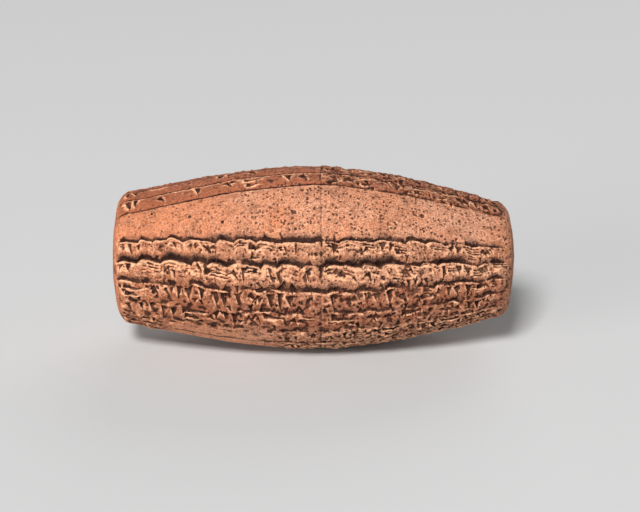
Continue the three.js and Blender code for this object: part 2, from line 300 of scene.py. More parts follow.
def slanted_group(numbers):
    slanted = {"along": SLANTED_START, "length": SLANTED_LENGTH * LONGEST_UPRIGHT, "steep": 1}
    slanted["down"] = vary(SLANTED_DOWN, numbers)
    slanted["turn"] = vary(SLANTED_TURN, numbers)
    slanted["wide"] = uneven(numbers)
    if next(numbers) < LONE_SHARE:
        return HEAD_WIDTH * SLANTED_ROOM, [slanted]
    crossing = {**slanted, "along": HEAD_WIDTH * CROSSING_START, "steep": -1}
    crossing["turn"] = vary(CROSSING_TURN, numbers)
    crossing["wide"] = uneven(numbers)
    crossing["down"] = slanted["down"] + CROSSING_STAGGER * (next(numbers) - 0.5)
    return HEAD_WIDTH * CROSSING_ROOM, [slanted, crossing]


def press_scale(x):
    """How large a press is at x, beside one at the belly."""
    return float(row_height(x) / row_height(0))


def ledge_presses(row, start, end, numbers):
    """Long level presses end to end, which step the clay down under one of the first row lines."""
    deep = FIRST_LEDGE_DEPTH if row == 0 else 1
    presses = []
    x = start
    while x < end - min(LEDGE_PRESS):
        length = min(between(LEDGE_PRESS, numbers), end - x)
        press = {"row": row, "x": x, "scale": press_scale(x), "length": length, "steep": -1}
        press |= {"wide": LEDGE_WIDTH * uneven(numbers), "deep": deep, "bridged": BRIDGED_SHARE}
        press |= {"down": vary(LEDGE_DOWN, numbers), "turn": vary(LEDGE_TURN, numbers)}
        presses.append(press)
        x += length - LEDGE_OVERLAP
    return presses


def left_bare(press):
    """Whether a press falls on the worn patch or the resting flat, where the clay is smooth."""
    x, row = press["x"], press["row"]
    below = math.radians(float(text_angle(x, row + press["down"])) + 90) * float(flank_radius(x))
    worn_row = WORN_PATCH["first"] <= row <= WORN_PATCH["last"]
    worn = worn_row and WORN_PATCH["start"] < x < WORN_PATCH["end"]
    return worn or math.hypot(x, below) < REST_CLEAR


def row_numbers(seeds, row, side):
    """The stream of numbers for one row of one column."""
    numbers = seeded_numbers(seeds["first"] + seeds["row"] * row + seeds["right"] * (side == "right"))
    next(numbers)
    return numbers


def widest_gap(row, side):
    if side == "left" and row >= ROW_COUNT - SPARSE_ROWS:
        return SPARSE_GAP
    return LEDGE_GAP if row < LEDGE_ROWS else 0


def lay_out_presses():
    presses = []
    for row in range(ROW_COUNT):
        for side, (start, end) in COLUMNS.items():
            numbers = row_numbers(PRESS_SEEDS, row, side)
            if row < LEDGE_ROWS:
                presses += ledge_presses(row, start, end, numbers)
            x = start + ROW_START * next(numbers)
            while True:
                width, group = press_group(numbers)
                scale = press_scale(x)
                if x + width * scale > end:
                    break
                for press in group:
                    presses.append({**press, "row": row, "x": x + press["along"] * scale, "scale": scale})
                x += width * scale + PRESS_GAP + widest_gap(row, side) * next(numbers)
    return [press for press in presses if not left_bare(press)]


# The fine presses. Between the large ones the same stylus left short heads, thin level lines, little
# combs of strokes, terraces under the first row lines and notches up into the ridges over them.
FINE_SEEDS = {"first": 9001, "row": 31, "right": 13}
FINE_STEP = (1.3, 4.2)
FINE_DOWN = (0.12, 0.74)
FINE_DEPTH = (0.3, 0.3)
FINE_LENGTH = (2, 3)
CROWDED = {"lines": 0.3, "combs": 0.5, "stretch": (1.3, 1.6), "wide": (0.5, 0.2)}
OPEN = {"lines": 0.14, "combs": 0.3, "stretch": (1.3, 0), "wide": (0.5, 0.45)}
STROKE_COUNT = (2, 2)
LINE = {"turn": 2, "wide": 0.34}
LINE_HIGHER = 0.6
LINE_PITCH = 0.14
STROKE = {"turn": -88, "length": 2.4, "wide": 0.3, "steep": -1}
STROKE_PITCH = 0.95
SHORT_TURN = (-95, 60)
SHORT_LENGTH = 0.8
SHORT_DEPTH = 1.7
TERRACE_LENGTH = (6, 14)
TERRACE_DOWN = (0.1, 0.16)
TERRACE_COUNT = (2, 1.6)
TERRACE_PITCH = 0.125
TERRACE_SHIFT = 0.6
TERRACE_TURN = (1, -4)
TERRACE_GAP = 3
TERRACE = {"wide": 0.36, "deep": 0.5, "steep": -1}
NOTCH_ROWS = 5
NOTCH_STEP = (4, 12)
NOTCH_DOWN = 0.1
NOTCH_TURN = (65, 50)
NOTCH_LENGTH = (2.2, 2.4)
NOTCH_WIDTH = (0.6, 0.5)
NOTCH_DEPTH = (0.5, 0.3)
ROW_END_CLEAR = 2
QUIET_ROWS = 4
SMOOTH_CORNER = {"end": -34, "first": 3, "last": 6}


def terraces(row, start, end, numbers):
    """Two or three level lines close together, over and over, just under one of the first row lines."""
    presses = []
    x = start
    while x < end - min(TERRACE_LENGTH):
        length = between(TERRACE_LENGTH, numbers)
        down = vary(TERRACE_DOWN, numbers)
        for i in range(int(vary(TERRACE_COUNT, numbers))):
            line = {"row": row, "x": x + TERRACE_SHIFT * i, "scale": press_scale(x), **TERRACE}
            line |= {"down": down + TERRACE_PITCH * i, "turn": vary(TERRACE_TURN, numbers)}
            line["length"] = min(length, end - x) - 2 * TERRACE_SHIFT * i
            presses.append(line)
        x += length + TERRACE_GAP * next(numbers)
    return presses


def notches(row, start, end, numbers):
    """Heads pressed up from a row line into the ridge over it."""
    presses = []
    x = start + min(NOTCH_STEP) * next(numbers)
    while x < end - ROW_END_CLEAR:
        notch = {"row": row, "x": x, "scale": press_scale(x), "steep": 1}
        notch |= {"down": NOTCH_DOWN * next(numbers), "turn": vary(NOTCH_TURN, numbers)}
        notch |= {"length": vary(NOTCH_LENGTH, numbers), "wide": vary(NOTCH_WIDTH, numbers)}
        notch["deep"] = vary(NOTCH_DEPTH, numbers)
        presses.append(notch)
        x += between(NOTCH_STEP, numbers)
    return presses


def fine_press(x, row, numbers):
    """A few thin level lines, a comb of short strokes or one short head."""
    kinds = CROWDED if row < LEDGE_ROWS else OPEN
    kind = next(numbers)
    common = {"row": row, "x": x, "scale": press_scale(x), "steep": 1}
    common |= {"down": vary(FINE_DOWN, numbers), "deep": vary(FINE_DEPTH, numbers)}
    length = vary(FINE_LENGTH, numbers)
    if kind < kinds["lines"]:
        line = {**common, **LINE, "length": vary(kinds["stretch"], numbers) * length}
        count = int(vary(STROKE_COUNT, numbers))
        return [{**line, "down": LINE_HIGHER * line["down"] + LINE_PITCH * i} for i in range(count)]
    if kind < kinds["combs"]:
        count = int(vary(STROKE_COUNT, numbers))
        return [{**common, **STROKE, "x": x + STROKE_PITCH * i} for i in range(count)]
    head = {**common, "turn": vary(SHORT_TURN, numbers), "length": SHORT_LENGTH * length}
    head |= {"wide": vary(kinds["wide"], numbers), "deep": SHORT_DEPTH * common["deep"]}
    return [head]


def left_smooth(press):
    """Whether a fine press falls where the clay has only large ones or none."""
    corner_row = SMOOTH_CORNER["first"] <= press["row"] <= SMOOTH_CORNER["last"]
    return left_bare(press) or corner_row and press["x"] < SMOOTH_CORNER["end"]


def lay_out_fine_presses():
    presses = []
    for row in range(ROW_COUNT):
        for side, (start, end) in COLUMNS.items():
            if side == "left" and row >= ROW_COUNT - QUIET_ROWS:
                continue
            numbers = row_numbers(FINE_SEEDS, row, side)
            if row < LEDGE_ROWS:
                presses += terraces(row, start, end, numbers)
            if row < NOTCH_ROWS:
                presses += notches(row, start, end, numbers)
            x = start + ROW_START * next(numbers)
            while x < end - ROW_END_CLEAR:
                presses += fine_press(x, row, numbers)
                x += between(FINE_STEP, numbers)
    return [press for press in presses if not left_smooth(press)]


# How the clay took each press. The stylus pushed up a lip along each edge, the damp clay dragged and
# wandered a little, and under the first row lines it bulged up in arcs. Age then wore it unevenly.
LIP_HEIGHT = 0.16
LIP_REACH = 1.0
RIM_HEIGHT = 0.14
RIM_REACH = 0.3
GENTLE_LIP = 0.15
GENTLE_CURVE = 1.25
TAIL_FADE = 0.8
HEAD_FLARE = 0.12
FLARE_REACH = 0.16
WOBBLE = 0.22
WOBBLE_SIZE = 2.2
LINE_WANDER = 0.45
LINE_WANDER_SIZE = 9
SCALLOP_SEEDS = {"first": 4001, "row": 53, "right": 0}
SCALLOP_HEIGHT = (0.4, 1.9)
SCALLOP_LENGTH = (4, 13)
SCALLOP_START = {"steep": 5, "curve": 0.7}
SCALLOP_END = {"steep": 1.6, "curve": 0.8}
SCALLOP_ROWS = 7
SCALLOP_OVER_BAND = 5


def scallops(row):
    """How far the clay under a row line bulges up over it, place by place, in a run of arcs."""
    numbers = row_numbers(SCALLOP_SEEDS, row, "left")
    rise = np.zeros(len(outline_x))
    x = TEXT_LEFT
    while x < TEXT_RIGHT:
        length = between(SCALLOP_LENGTH, numbers)
        height = between(SCALLOP_HEIGHT, numbers)
        share = np.clip((outline_x - x) / length, 0, 1)
        start = np.minimum(1, SCALLOP_START["steep"] * share) ** SCALLOP_START["curve"]
        end = np.minimum(1, SCALLOP_END["steep"] * (1 - share)) ** SCALLOP_END["curve"]
        rise += height * start * end * (share > 0) * (share < 1)
        x += length
    return rise * max(0, 1 - row / SCALLOP_ROWS)


def patches(size, seed, squeeze, middle, swing, limits):
    """A value that drifts over the surface, in patches of about this size, between its limits."""
    drift = lattice_noise(points * (1, squeeze, squeeze), size, seed)
    return np.clip(middle + swing * drift, *limits)


sunk = np.zeros(grid_turn.shape)
lifted = np.zeros(grid_turn.shape)
wobble_s = WOBBLE * lattice_noise(points, WOBBLE_SIZE, seed=3)
wobble_y = WOBBLE * lattice_noise(points, WOBBLE_SIZE, seed=4)
wobble_y += LINE_WANDER * lattice_noise(points, LINE_WANDER_SIZE, seed=5)
wobble_y += 0.5 * WOBBLE * lattice_noise(points, 0.5 * WOBBLE_SIZE, seed=6)
row_scallops = [scallops(row) for row in range(ROW_COUNT)]
line_rise = np.stack([*row_scallops, np.zeros(len(outline_x))], axis=1)
whole_row = np.minimum(rows, ROW_COUNT - 1).astype(int)
part_row = np.minimum(rows - whole_row, 1)
arched = line_rise[:, whole_row] * (1 - part_row) + line_rise[:, whole_row + 1] * part_row
over_text = (1 - band[None, :]) * np.radians(band_angle) * grid_r
band_fade = np.clip(1 - over_text / SCALLOP_OVER_BAND, 0, 1)
arched = np.where((rows < ROW_COUNT)[None, :], arched, line_rise[:, :1] * band_fade)
wobble_y -= arched
wear = patches(size=6.5, seed=9, squeeze=1.5, middle=0.85, swing=0.75, limits=(0.4, 1.15))
open_crease = patches(size=4.5, seed=21, squeeze=0.8, middle=0.62, swing=2.4, limits=(0, 1))


def carve(press):
    """Sinks one press into the grid, steep on one side, with a lip round it."""
    scale = press["scale"]
    depth = PRESS_DEPTH * scale * press.get("deep", 1)
    length = press["length"] * scale
    half = HEAD_WIDTH / 2 * scale * press.get("wide", 1)
    deep_x = HEAD_LEAN * depth
    reach = length + 2 * LIP_REACH
    s0 = np.interp(press["x"], outline_x, outline_s)
    place = press["row"] + press["down"]
    near = np.flatnonzero(np.abs(outline_s - s0) < reach)
    rise = reach / float(row_height(press["x"]))
    first, last = math.floor((place - rise) * ROW_STEPS), math.ceil((place + rise) * ROW_STEPS)
    window = np.ix_(near, np.arange(first, last) % len(rows))
    away = (grid_angle[window] - float(text_angle(press["x"], place)) + 180) % 360 - 180
    across = outline_s[near][:, None] - s0 + wobble_s[window]
    up = np.radians(away) * outline_r[near][:, None] + wobble_y[window]
    turn = math.radians(press["turn"])
    u = across * math.cos(turn) + up * math.sin(turn)
    v = up * math.cos(turn) - across * math.sin(turn)
    share = np.clip(u / length, 0, 1)
    flare = HEAD_FLARE * np.exp(-share / FLARE_REACH) * (1 - share)
    width = np.maximum(half * ((1 - HEAD_FLARE) * (1 - share) + flare), 1e-6)
    crease = STEEP_SIDE * press["steep"] * width
    side = np.where(v > crease, (width - v) / (width - crease), (width + v) / (width + crease))
    side = np.where(v * press["steep"] < 0, np.clip(side, 0, 1) ** GENTLE_CURVE, side)
    inside = np.minimum(u / deep_x, side) * (1 - share) ** TAIL_FADE
    held = wear[window] * (1 - press.get("bridged", 0) * (1 - open_crease[window]))
    sunk[window] = np.maximum(sunk[window], depth * held * np.clip(inside, 0, 1))
    beyond = np.maximum(0, -u) + np.maximum(0, u - length)
    outside = np.hypot(beyond, np.maximum(0, np.abs(v) - width))
    lip = LIP_HEIGHT * np.exp(-((outside / LIP_REACH) ** 2)) + RIM_HEIGHT * np.exp(-outside / RIM_REACH)
    lip = lip * scale * press.get("deep", 1) * np.where(v * press["steep"] >= 0, 1, GENTLE_LIP)
    lifted[window] = np.maximum(lifted[window], lip)


for press in lay_out_presses() + lay_out_fine_presses():
    carve(press)


# The ruled lines. The scribe drew thin scores along the band's upper edge and over the last row of
# the left column, fainter towards the right end, and a fainter ring still between the columns.
SCORE_WIDTH = 0.3
SCORE_DEPTH = 0.4
SCORE_WANDER = 0.6
FAINTEST_SCORE = 0.35
RING_DEPTH = 0.12
RING_WANDER = 1.5


def score(distance, depth):
    """Sinks a thin line where the distance to it is small."""
    sunk[...] = np.maximum(sunk, depth * np.exp(-((distance / SCORE_WIDTH) ** 2)))


def row_line_distance(line):
    over_band = band[None, :] * np.radians(band_angle) * grid_r
    return (rows[None, :] - line) * row_height(grid_x) + over_band - SCORE_WANDER * wobble_y


fading = np.clip((HALF_LENGTH - grid_x) / HALF_LENGTH, FAINTEST_SCORE, 1)
left_column = np.clip(COLUMN_DIVIDER - grid_x, 0, 1)
score(row_line_distance(ROW_COUNT), SCORE_DEPTH * fading)
score(row_line_distance(ROW_COUNT - 1), SCORE_DEPTH * left_column)
score(np.broadcast_to(grid_x - COLUMN_DIVIDER, sunk.shape) + RING_WANDER * wobble_s, RING_DEPTH)


# The ridges. Under the first row lines the clay steps down and then swells into a long rounded
# ridge, uneven from place to place. Further round, the rows fade to a slight waviness.
LEDGE_DEPTHS = (1.1, 1.6, 0.7, 0.3, 0.2, 0.2, 0.25)
OTHER_LEDGE = 0.35
LEDGE_RISE = 0.07
LEDGE_ROLL = 0.5
BAND_ROLL = 3.6
RIDGE_SWELL = 0.42
RIDGE_LEAN = 1.4
TEXT_FADE = {"left": 2, "right": 3}
RUB_FADE = 6
RUB_EARLY = 0.3
RUBBED_AWAY = 0.85
SPARED = 0.75

# How far down the rows a place is, from the first row line as it wanders, and negative in the band.
wandered = np.where(rows[None, :] < ROW_COUNT, rows[None, :], -over_text / row_height(grid_x))
wandered = np.minimum(wandered - wobble_y / row_height(grid_x), ROW_COUNT - 1e-6)
written = wandered >= 0
row_number = np.where(written, wandered, 0).astype(int)
down_row = np.where(written, wandered - row_number, 0)
other_ledges = [OTHER_LEDGE] * (ROW_COUNT - len(LEDGE_DEPTHS))
ledges = np.array([*LEDGE_DEPTHS, *other_ledges, 0])
here, below = written * ledges[row_number], written * ledges[row_number + 1]
rise = np.clip(1 - down_row / LEDGE_RISE, 0, 1)
roll = np.clip(1 - (1 - down_row) / LEDGE_ROLL, 0, 1) ** 2
swell = np.sin(np.pi * down_row**RIDGE_LEAN) * here
above_text = np.maximum(-wandered, 0) * row_height(grid_x)
band_roll = np.clip(1 - above_text / BAND_ROLL, 0, 1) ** 2 * ~written * LEDGE_DEPTHS[0]
text_x = np.clip((outline_x - TEXT_LEFT + TEXT_FADE["left"] / 2) / TEXT_FADE["left"], 0, 1)
text_x *= np.clip((TEXT_RIGHT + TEXT_FADE["right"] - outline_x) / TEXT_FADE["right"], 0, 1)
patchy = patches(size=6, seed=8, squeeze=1.6, middle=0.62, swing=1.45, limits=(0.05, 1.35))
ledge = RIDGE_SWELL * swell - patchy * (here * rise + below * roll + band_roll)
ledge = ledge * text_x[:, None]
rubbed = np.clip((grid_x - WORN_PATCH["start"]) / RUB_FADE, 0, 1)
rubbed = rubbed * np.clip((WORN_PATCH["end"] - grid_x) / RUB_FADE, 0, 1)
rubbed = rubbed * np.clip(wandered - WORN_PATCH["first"] + RUB_EARLY, 0, 1)
rubbed = rubbed * np.clip(WORN_PATCH["last"] + 1 - wandered, 0, 1)
quiet = np.clip(wandered - (ROW_COUNT - QUIET_ROWS), 0, 1) * (grid_x < COLUMN_DIVIDER)
worked = written * text_x[:, None] * (1 - RUBBED_AWAY * rubbed) * (1 - SPARED * quiet)


# The hand and the ground. Palms left broad hollows, sand in the clay left a rough skin, and small
# stones and burnt straw fell out as pores. A few strokes of a tool crossed the blank band.
HOLLOW_DEPTH = 0.22
HOLLOW_SIZE = 13
SKIN_DEPTH = 0.07
SKIN_SIZE = 1.1
CRUMBLE_DEPTH = 0.36
PORE_COUNT = 420
PORE_RADII = (0.22, 0.8)
PORE_DEPTH = 0.55
SCRATCHES = [
    {"x": -18, "band": 0.45, "turn": -14, "length": 5},
    {"x": -20, "band": 0.52, "turn": -30, "length": 3},
    {"x": -52, "band": 0.2, "turn": 35, "length": 4},
    {"x": 21, "band": 0.46, "turn": -8, "length": 4},
    {"x": 23, "band": 0.3, "turn": 12, "length": 2.5},
    {"x": 32, "band": 0.3, "turn": 28, "length": 3},
    {"x": 6, "band": 0.72, "turn": -20, "length": 2.5},
    {"x": -4, "band": 0.3, "turn": 40, "length": 2},
]
SCRATCH_WIDTH = 0.14
SCRATCH_DEPTH = 0.25
PORE_MARGIN = 3
PORE_RARITY = 4
PORE_WALL = {"edge": 1.3, "steep": 3}
CRUMBS = {"lump": 2.4, "crack": 1.6, "grit": 0.8}
CRACK_SHARE = 0.8
GRIT_SHARE = 0.5

roughness = HOLLOW_DEPTH * lattice_noise(points, HOLLOW_SIZE, seed=11)
roughness += 0.5 * HOLLOW_DEPTH * lattice_noise(points, HOLLOW_SIZE / 3, seed=12)
roughness += SKIN_DEPTH * lattice_noise(points, SKIN_SIZE, seed=13)
crumbled = lattice_noise(points, CRUMBS["lump"] * SKIN_SIZE, seed=14)
crumbled -= CRACK_SHARE * np.abs(lattice_noise(points, CRUMBS["crack"] * SKIN_SIZE, seed=15))
crumbled += GRIT_SHARE * lattice_noise(points, CRUMBS["grit"] * SKIN_SIZE, seed=16)
roughness += worked * CRUMBLE_DEPTH * crumbled

pored = np.zeros(grid_turn.shape)


def pit(x, angle, radius):
    """Sinks one pore into the grid."""
    s0 = np.interp(x, outline_x, outline_s)
    near = np.flatnonzero(np.abs(outline_s - s0) < 2 * radius)
    away = (grid_angle[near] - angle + 180) % 360 - 180
    across = outline_s[near][:, None] - s0
    distance = np.hypot(across, np.radians(away) * outline_r[near][:, None]) / radius
    bowl = np.clip(PORE_WALL["edge"] - distance ** PORE_WALL["steep"], 0, 1)
    pored[near] = np.maximum(pored[near], PORE_DEPTH * radius * bowl)


chance = seeded_numbers(77)
for _ in range(PORE_COUNT):
    smallest, largest = PORE_RADII
    spot_x = -HALF_LENGTH + PORE_MARGIN + (BARREL_LENGTH - 2 * PORE_MARGIN) * next(chance)
    around = 360 * next(chance)
    pit(spot_x, around, smallest + (largest - smallest) * next(chance) ** PORE_RARITY)

for scratch in SCRATCHES:
    x = scratch["x"]
    band_height = float(line_angle(BAND_TOP, x) - line_angle(BAND_BOTTOM, x))
    row = -scratch["band"] * band_height / float(row_angle(x))
    line = {"row": row, "down": 0, "scale": 1, "steep": 0, "deep": SCRATCH_DEPTH, "wide": SCRATCH_WIDTH}
    carve({**line, "x": x, "turn": scratch["turn"], "length": scratch["length"]})

height = lifted - sunk + ledge + roughness - pored


# Painted light and shade, and wear. Painted shade darkens the hollows and the undersides of the ridges,
# painted highlights and handling make the raised edges that face up paler, and painted shade makes
# the third and fourth rows and those over the band darker and redder.
FINE_REACH = 0.5
BROAD_REACH = 1.8
SLOPE_REACH = 0.3
HOLLOW_SHADE_SHARES = {"broad": 1.2, "fine": 1.2}
WORN_AND_LIT_EDGE_SHARES = {"broad": 0.7, "fine": 2.6}
BOLDER = 0.6
BOLD_FROM = 3
FACING_UP = {"level": 0.3, "slope": 1.3}
FACING_LIMITS = (0.05, 1.2)
PATCH_TONE = 0.16
LOWER_ROWS = (1.7, 2.1, 3.6, 4.4)
LOWER_LEFT = {"start": -58, "fade": 18, "least": 0.1}
EDGE_WEAR_AND_HIGHLIGHT = 1.15
LOWER_HIGHLIGHT_LOSS = 0.6
ROW_TONE_AND_SHADE_AT = (0, 1, 4.6, 12, 17)
ROW_TONE_AND_SHADE = (0.2, 0.4, 0.15, 0.4, 2.8)
LOWER_ROW_SHADE = 1.5
SHADE = 1.4
SHADE_REACH = 0.45
SHADE_LEFT = {"start": -48, "fade": 20, "least": 0.2}
SHADE_FALL = {"line": 1.4, "first": 1.3}
SHADE_EVEN = 0.3
SHADE_MOST = 1.15
BRIDGED_SHADE = 0.25


def spread(field, reach):
    """The field averaged over a square of about this reach in millimetres."""
    wide = max(1, round(reach / (BARREL_LENGTH / FLANK_STEPS)))
    tall = max(1, round(reach / (float(row_height(0)) / ROW_STEPS)))
    for _ in range(2):
        padded = np.pad(field, ((wide, wide), (0, 0)), mode="edge")
        total = np.cumsum(np.vstack([np.zeros(field.shape[1]), padded]), axis=0)
        field = (total[2 * wide + 1 :] - total[: -2 * wide - 1]) / (2 * wide + 1)
        padded = np.pad(field, ((0, 0), (tall, tall)), mode="wrap")
        total = np.cumsum(np.hstack([np.zeros((field.shape[0], 1)), padded]), axis=1)
        field = (total[:, 2 * tall + 1 :] - total[:, : -2 * tall - 1]) / (2 * tall + 1)
    return field


def relief(shares):
    """How far the surface stands over its surroundings, near and less near."""
    return shares["broad"] * broad_relief + shares["fine"] * fine_relief


fine_relief = height - spread(height, FINE_REACH)
broad_relief = height - spread(height, BROAD_REACH)
# The painted shade in the hollows and the painted highlights on the edges grow bolder down the rows.
bolder = 1 + BOLDER * written * np.clip(wandered / BOLD_FROM, 0, 1)
# Painted shade: the further a place lies below its surroundings, the darker its colour, as if shade falls
# there.
hollow_shade = np.clip(-bolder * relief(HOLLOW_SHADE_SHARES), 0, 1)
down_slope = np.gradient(spread(height, SLOPE_REACH), axis=1) / (float(row_height(0)) / ROW_STEPS)
# Painted highlight: the raised edges stay pale only where the surface faces up, towards the light.
facing_up = np.clip(FACING_UP["level"] + FACING_UP["slope"] * down_slope, *FACING_LIMITS)
worn_and_lit_edge = np.clip(bolder * relief(WORN_AND_LIT_EDGE_SHARES), 0, 1) * facing_up
inward = np.clip((grid_x - LOWER_LEFT["start"]) / LOWER_LEFT["fade"], LOWER_LEFT["least"], 1)
lower_rows = np.interp(wandered, LOWER_ROWS, (0, 1, 1, 0)) * inward
# Painted shade: the third and fourth rows keep less of their pale edges.
worn_and_lit_edge *= EDGE_WEAR_AND_HIGHLIGHT - LOWER_HIGHLIGHT_LOSS * lower_rows
worn_and_lit_edge = np.maximum(worn_and_lit_edge, PATCH_TONE * rubbed)
# Painted shade: the clay rolling down into each row line, and the band over its lower edge, is darkened in
# broken patches.
over_line = np.clip(1 - (1 - down_row) / SHADE_REACH, 0, 1) ** SHADE_FALL["line"] * below
over_first = np.clip(1 - above_text / BAND_ROLL, 0, 1) ** SHADE_FALL["first"]
over_first *= ~written * LEDGE_DEPTHS[0]
over_first *= np.clip((grid_x - SHADE_LEFT["start"]) / SHADE_LEFT["fade"], SHADE_LEFT["least"], 1)
broken = np.clip(patchy + SHADE_EVEN, 0, SHADE_MOST)
broken *= BRIDGED_SHADE + (1 - BRIDGED_SHADE) * open_crease
shade = SHADE * broken * (over_line + over_first) * text_x[:, None]
# Painted shade, with some of the clay's own tone: the third and fourth rows and the top rows are made darker
# and redder.
row_tone_and_shade = np.maximum(np.interp(wandered, ROW_TONE_AND_SHADE_AT, ROW_TONE_AND_SHADE), LOWER_ROW_SHADE * lower_rows)
row_tone_and_shade = written * text_x[:, None] * row_tone_and_shade
marks = {"hollow_shade": hollow_shade, "worn_and_lit_edge": worn_and_lit_edge, "row_tone_and_shade": row_tone_and_shade, "shade": shade, "worked": worked}


# The clay body. It is one lump of sandy, orange-brown clay with fine pale grains and dark flecks,
# pushed in and out by all the forms above and pressed flat beneath. Its triangles crowd where the
# carving is.
MOST_TRIANGLES = 198000


def grid_mesh(name, places):
    """A closed mesh from rings of points, where the first and the last ring are single poles."""
    rings, around = places.shape[:2]
    body = places[1:-1].reshape(-1, 3)
    verts = np.vstack([places[0, 0], body, places[-1, 0]]) * MM
    ring = np.arange(rings - 2)
    spin = np.arange(around)
    after = (spin + 1) % around
    at = 1 + ring[:, None] * around
    a, b = at[:-1] + spin, at[:-1] + after
    c, d = at[1:] + after, at[1:] + spin
    quads = np.stack([a, b, c, d], -1).reshape(-1, 4)
    start, end = 0, len(verts) - 1
    caps = np.vstack(
        [
            np.stack([np.full(around, start), at[0] + after, at[0] + spin], -1),
            np.stack([np.full(around, end), at[-1] + spin, at[-1] + after], -1),
        ]
    )
    mesh = bpy.data.meshes.new(name)
    mesh.vertices.add(len(verts))
    mesh.vertices.foreach_set("co", verts.astype(np.float32).ravel())
    loops = np.r_[quads.ravel(), caps.ravel()]
    mesh.loops.add(len(loops))
    mesh.loops.foreach_set("vertex_index", loops.astype(np.int32))
    starts = np.r_[np.arange(len(quads)) * 4, len(quads) * 4 + np.arange(len(caps)) * 3]
    mesh.polygons.add(len(starts))
    mesh.polygons.foreach_set("loop_start", starts.astype(np.int32))
    mesh.update(calc_edges=True)
    mesh.validate()
    return mesh


surface = points + normals * height[..., None]
surface[0] = surface[0].mean(0)
surface[-1] = surface[-1].mean(0)
surface[..., 2] = np.maximum(surface[..., 2], 0)
body_mesh = grid_mesh("clay_body", surface)
for name, mark in marks.items():
    worth = body_mesh.attributes.new(name, "FLOAT", "POINT")
    values = np.r_[mark[0].mean(), mark[1:-1].ravel(), mark[-1].mean()]
    worth.data.foreach_set("value", values.astype(np.float32))
clay_body = bpy.data.objects.new("clay_body", body_mesh)
bpy.context.scene.collection.objects.link(clay_body)
thin = clay_body.modifiers.new("thin", "DECIMATE")
thin.ratio = MOST_TRIANGLES / sum(len(p.vertices) - 2 for p in body_mesh.polygons)
thin.use_collapse_triangulate = True
graph = bpy.context.evaluated_depsgraph_get()
thinned = bpy.data.meshes.new_from_object(clay_body.evaluated_get(graph))
clay_body.modifiers.clear()
clay_body.data = thinned
thinned.shade_smooth()

clay = bpy.data.materials.new("clay")
clay.use_nodes = True
tree = clay.node_tree
shader = tree.nodes["Principled BSDF"]
shader.inputs["Specular IOR Level"].default_value = 0.25


def add_node(kind, **settings):
    """A node of the clay's material, with its properties set by name and its inputs by position."""
    node = tree.nodes.new(kind)
    inputs = settings.pop("inputs", {})
    for name, value in settings.items():
        setattr(node, name, value)
    for place, value in inputs.items():
        if isinstance(value, bpy.types.NodeSocket):
            tree.links.new(value, node.inputs[place])
        else:
            node.inputs[place].default_value = value
    return node


def noise(size, detail=3, roughness=0.55):
    """Noise in lumps of about this size in millimetres, around a half."""
    inputs = {"Vector": place, "Scale": 1 / (size * MM), "Detail": detail, "Roughness": roughness}
    return add_node("ShaderNodeTexNoise", inputs=inputs).outputs["Fac"]


def remap(value, low, high, to_low=0.0, to_high=1.0):
    """The value's place from low to high, as a value from to_low to to_high."""
    inputs = {"Value": value, "From Min": low, "From Max": high, "To Min": to_low, "To Max": to_high}
    return add_node("ShaderNodeMapRange", inputs=inputs).outputs["Result"]


def arithmetic(operation, first, second):
    return add_node("ShaderNodeMath", operation=operation, inputs={0: first, 1: second}).outputs[0]


def product(first, second):
    return arithmetic("MULTIPLY", first, second)


def mark_here(name):
    return add_node("ShaderNodeAttribute", attribute_name=name).outputs["Fac"]


def blend(share, first, second):
    """One colour over another, by a share from 0 to 1."""
    node = add_node("ShaderNodeMix", data_type="RGBA", inputs={"Factor": share})
    for socket, value in ((node.inputs[6], first), (node.inputs[7], second)):
        if isinstance(value, bpy.types.NodeSocket):
            tree.links.new(value, socket)
        else:
            socket.default_value = (*value, 1)
    return node.outputs[2]


CLAY = (0.58, 0.205, 0.093)
CLAY_PINK = (0.59, 0.28, 0.17)
CLAY_DUSKY = (0.24, 0.085, 0.042)
CLAY_HIGHLIGHT_AND_PALE_CRUMB = (1, 0.52, 0.3)
CLAY_RED_TONE_AND_SHADE = (0.34, 0.088, 0.034)
CLAY_PALE = (0.82, 0.52, 0.35)
CLAY_WARM = (0.52, 0.155, 0.06)
DARK_FLECK_AND_SHADE = (0.03, 0.008, 0.004)
PAINTED_SHADE_DARK = (0.05, 0.026, 0.019)
WARM_FROM = -5 * MM
WARM_TO = -60 * MM
JITTER_SIZE = 0.9
JITTER = 1.2 * MM
SAND_SIZE = 0.34
FLECK_SIZE = 1.15
place = add_node("ShaderNodeTexCoord").outputs["Object"]
hollow_shade_here, worn_and_lit_edge_here, row_tone_and_shade_here, shade_here, in_text = [
    mark_here(name) for name in ("hollow_shade", "worn_and_lit_edge", "row_tone_and_shade", "shade", "worked")
]
along = add_node("ShaderNodeSeparateXYZ", inputs={0: place}).outputs[0]
leftward = remap(along, WARM_FROM, WARM_TO)


def vector_math(operation, **inputs):
    """The same sum on all three of a place's numbers, where a and b are the first and the second."""
    named = {{"a": 0, "b": 1, "scale": "Scale"}[name]: value for name, value in inputs.items()}
    return add_node("ShaderNodeVectorMath", operation=operation, inputs=named).outputs[0]


jitter_inputs = {"Vector": place, "Scale": 1 / (JITTER_SIZE * MM), "Detail": 3}
jitter = add_node("ShaderNodeTexNoise", inputs=jitter_inputs).outputs["Color"]
jitter = vector_math("SCALE", a=vector_math("SUBTRACT", a=jitter, b=(0.5, 0.5, 0.5)), scale=JITTER)
ragged = vector_math("ADD", a=place, b=jitter)


def cells(size):
    """Cells of about this size in millimetres: the distance from each one's middle and its own number."""
    cell = add_node("ShaderNodeTexVoronoi", inputs={"Vector": ragged, "Scale": 1 / (size * MM)})
    number = add_node("ShaderNodeSeparateColor", inputs={0: cell.outputs["Color"]}).outputs[0]
    return cell.outputs["Distance"], number


